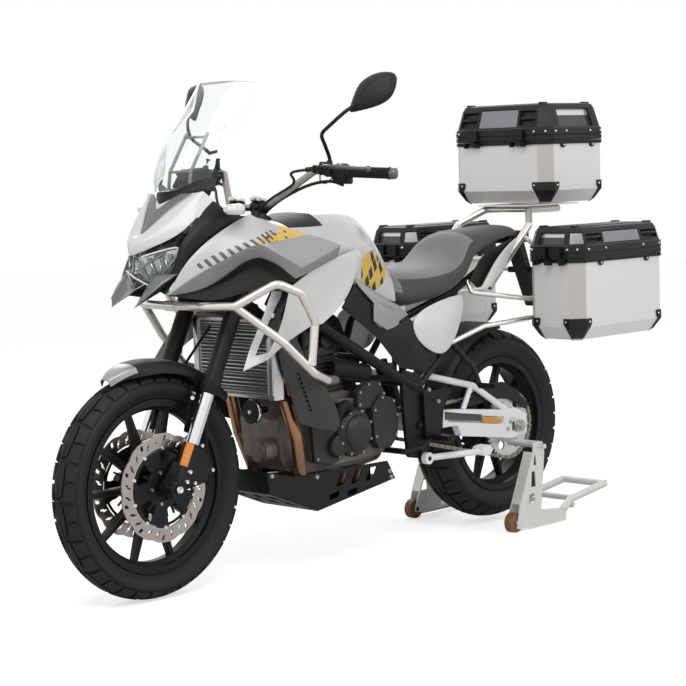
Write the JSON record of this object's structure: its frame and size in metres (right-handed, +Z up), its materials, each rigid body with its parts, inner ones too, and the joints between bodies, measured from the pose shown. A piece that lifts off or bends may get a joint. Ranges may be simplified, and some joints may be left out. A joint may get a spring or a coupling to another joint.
{
  "type": "motorcycle",
  "caption": "Adventure motorcycle with three hard luggage cases, tall windscreen and crash bars, parked upright on a rear paddock stand",
  "frame": {"origin": "centre of the bounding box at floor level", "axes": "+X towards the front wheel, +Y to the rider's left, +Z up; metres"},
  "size_m": [2.3842, 0.954, 1.4977],
  "materials": {
    "white_paint": "satin",
    "silver_paint": "satin",
    "grey_paint": "satin",
    "black_metal": "satin",
    "steel": "brushed",
    "header_steel": "brushed",
    "chrome": "polished",
    "bare_aluminium": "brushed",
    "case_shell": "satin",
    "black_plastic": "matte",
    "clear_plastic": "polished",
    "roller_plastic": "matte",
    "seat_cover": "matte",
    "grip_rubber": "matte",
    "tyre_rubber": "matte"
  },
  "bodies": {
    "frame": {"main_frame": "black_metal", "swingarm": "white_paint", "rear_axle": "steel", "drive_chain": "steel", "crankcase": "black_metal", "engine_covers": "black_metal", "cylinders": "black_metal", "radiator": "bare_aluminium", "radiator_guards": "black_plastic", "exhaust_pipes": "header_steel", "muffler": "steel", "skid_plate": "black_metal", "fuel_tank": "white_paint", "seat": "seat_cover", "side_fairings": "silver_paint", "fairing_trims": "black_plastic", "radiator_cowls": "white_paint", "nose_cowl": "white_paint", "headlamp": "clear_plastic", "beak": "grey_paint", "windscreen": "clear_plastic", "cockpit": "black_plastic", "frame_covers": "black_plastic", "side_panels": "white_paint", "rear_hugger": "black_plastic", "rear_subframe": "black_metal", "luggage_rack": "silver_paint", "tail_unit": "black_plastic", "crash_bars": "silver_paint", "turn_signals": "clear_plastic", "footpegs": "black_metal", "rear_shock": "black_metal", "top_case_body": "case_shell", "pannier_left_body": "case_shell", "pannier_right_body": "case_shell", "case_corners": "black_plastic", "paddock_stand": "bare_aluminium"},
    "steering": {"fork_outer_tubes": "black_metal", "fork_sliders": "chrome", "fork_feet": "black_metal", "fork_clamps": "black_metal", "front_brake_calipers": "black_metal", "handlebar": "black_metal", "hand_controls": "grip_rubber", "mirrors": "black_plastic", "front_mudguard": "black_plastic"},
    "front_wheel": {"front_rim": "black_metal", "front_tyre": "tyre_rubber", "front_brake_discs": "steel"},
    "rear_wheel": {"rear_rim": "black_metal", "rear_tyre": "tyre_rubber", "rear_brake_disc": "steel", "rear_sprocket": "bare_aluminium"},
    "top_case_lid_body": {"top_case_lid": "black_plastic"},
    "pannier_left_lid_body": {"pannier_left_lid": "black_plastic"},
    "pannier_right_lid_body": {"pannier_right_lid": "black_plastic"},
    "side_stand_body": {"side_stand": "white_paint"},
    "stand_roller_left_body": {"stand_roller_left": "roller_plastic"},
    "stand_roller_right_body": {"stand_roller_right": "roller_plastic"}
  },
  "joints": [
    {"name": "steering_hinge", "type": "hinge", "parent": "frame", "child": "steering", "pos_m": [0.55309, 0, 0.84578], "axis": [-0.4384, 0, 0.8988], "range_deg": [-30, 30]},
    {"name": "front_wheel_spin", "type": "hinge", "parent": "steering", "child": "front_wheel", "pos_m": [0.86285, 0, 0.3293], "axis": [0, 1, 0], "continuous": true},
    {"name": "rear_wheel_spin", "type": "hinge", "parent": "frame", "child": "rear_wheel", "pos_m": [-0.64215, 0, 0.3354], "axis": [0, 1, 0], "continuous": true},
    {"name": "top_case_lid_hinge", "type": "hinge", "parent": "frame", "child": "top_case_lid_body", "pos_m": [-0.72265, 0, 1.286], "axis": [0, 1, 0], "range_deg": [0, 75]},
    {"name": "pannier_left_lid_hinge", "type": "hinge", "parent": "frame", "child": "pannier_left_lid_body", "pos_m": [-0.54765, 0.36, 0.901], "axis": [0, 1, 0], "range_deg": [0, 75]},
    {"name": "pannier_right_lid_hinge", "type": "hinge", "parent": "frame", "child": "pannier_right_lid_body", "pos_m": [-0.54765, -0.36, 0.901], "axis": [0, 1, 0], "range_deg": [0, 75]},
    {"name": "side_stand_hinge", "type": "hinge", "parent": "frame", "child": "side_stand_body", "pos_m": [-0.13915, 0.176, 0.292], "axis": [0, -1, 0], "range_deg": [0, 100]},
    {"name": "stand_roller_left_spin", "type": "hinge", "parent": "frame", "child": "stand_roller_left_body", "pos_m": [-0.50515, 0.224, 0.033], "axis": [0, 1, 0], "continuous": true},
    {"name": "stand_roller_right_spin", "type": "hinge", "parent": "frame", "child": "stand_roller_right_body", "pos_m": [-0.50515, -0.224, 0.033], "axis": [0, 1, 0], "continuous": true}
  ]
}
